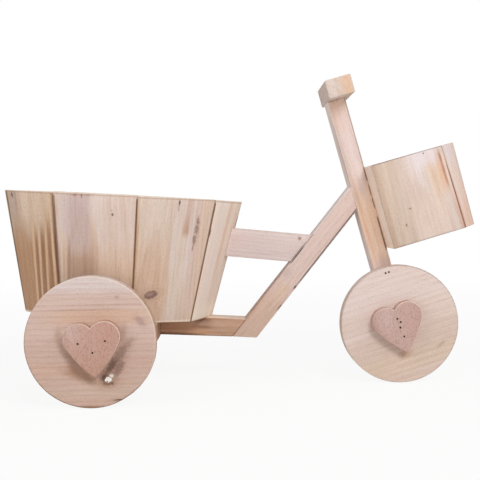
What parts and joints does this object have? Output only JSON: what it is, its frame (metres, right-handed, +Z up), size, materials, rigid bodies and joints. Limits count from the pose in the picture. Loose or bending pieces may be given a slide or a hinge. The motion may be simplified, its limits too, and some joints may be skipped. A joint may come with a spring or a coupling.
{
  "type": "tricycle planter",
  "caption": "Nailed pine planter shaped as a tricycle: round stave bucket over the rear wheels, stave basket on a leaning post, solid disc wheels with wooden hearts.",
  "frame": {"origin": "on the ground, under the middle of the overall box", "axes": "+X forward towards the front wheel, +Y to the tricycle's left, +Z up"},
  "size_m": [0.4928, 0.299, 0.3262],
  "materials": {
    "frame_pine": "sawn and lightly sanded, unfinished",
    "bucket_pine": "sawn and lightly sanded, unfinished",
    "basket_pine": "sawn and lightly sanded, unfinished",
    "floor_pine": "sawn, unfinished",
    "wheel_pine": "sanded, unfinished",
    "heart_pine": "sanded, unfinished",
    "hoop_strip": "bent strip, unfinished",
    "nail_steel": "dull wire nail"
  },
  "bodies": {
    "root": {"axle_board": "frame_pine", "basket_back": "basket_pine", "basket_back_nails": "nail_steel", "basket_corner_left": "basket_pine", "basket_corner_right": "basket_pine", "basket_floor": "floor_pine", "basket_floor_brads": "nail_steel", "basket_front": "basket_pine", "basket_rim_brads": "nail_steel", "basket_rim_hoop": "hoop_strip", "basket_side_left": "basket_pine", "basket_side_right": "basket_pine", "brace_nails": "nail_steel", "bucket_floor": "floor_pine", "bucket_floor_brads": "nail_steel", "bucket_rim_brads": "nail_steel", "bucket_rim_hoop": "hoop_strip", "bucket_stave_1": "bucket_pine", "bucket_stave_2": "bucket_pine", "bucket_stave_3": "bucket_pine", "bucket_stave_4": "bucket_pine", "bucket_stave_5": "bucket_pine", "bucket_stave_6": "bucket_pine", "bucket_stave_7": "bucket_pine", "bucket_stave_8": "bucket_pine", "bucket_stave_9": "bucket_pine", "diagonal_brace": "frame_pine", "floor_nails": "nail_steel", "front_heart": "heart_pine", "front_heart_nails": "nail_steel", "front_wheel": "wheel_pine", "front_wheel_nails": "nail_steel", "handlebar": "frame_pine", "handlebar_nails": "nail_steel", "lower_rail": "frame_pine", "post_nails": "nail_steel", "rear_heart_left": "heart_pine", "rear_heart_nails_left": "nail_steel", "rear_heart_nails_right": "nail_steel", "rear_heart_right": "heart_pine", "rear_wheel_left": "wheel_pine", "rear_wheel_right": "wheel_pine", "steering_post": "frame_pine", "upper_rail": "frame_pine"}
  },
  "joints": []
}
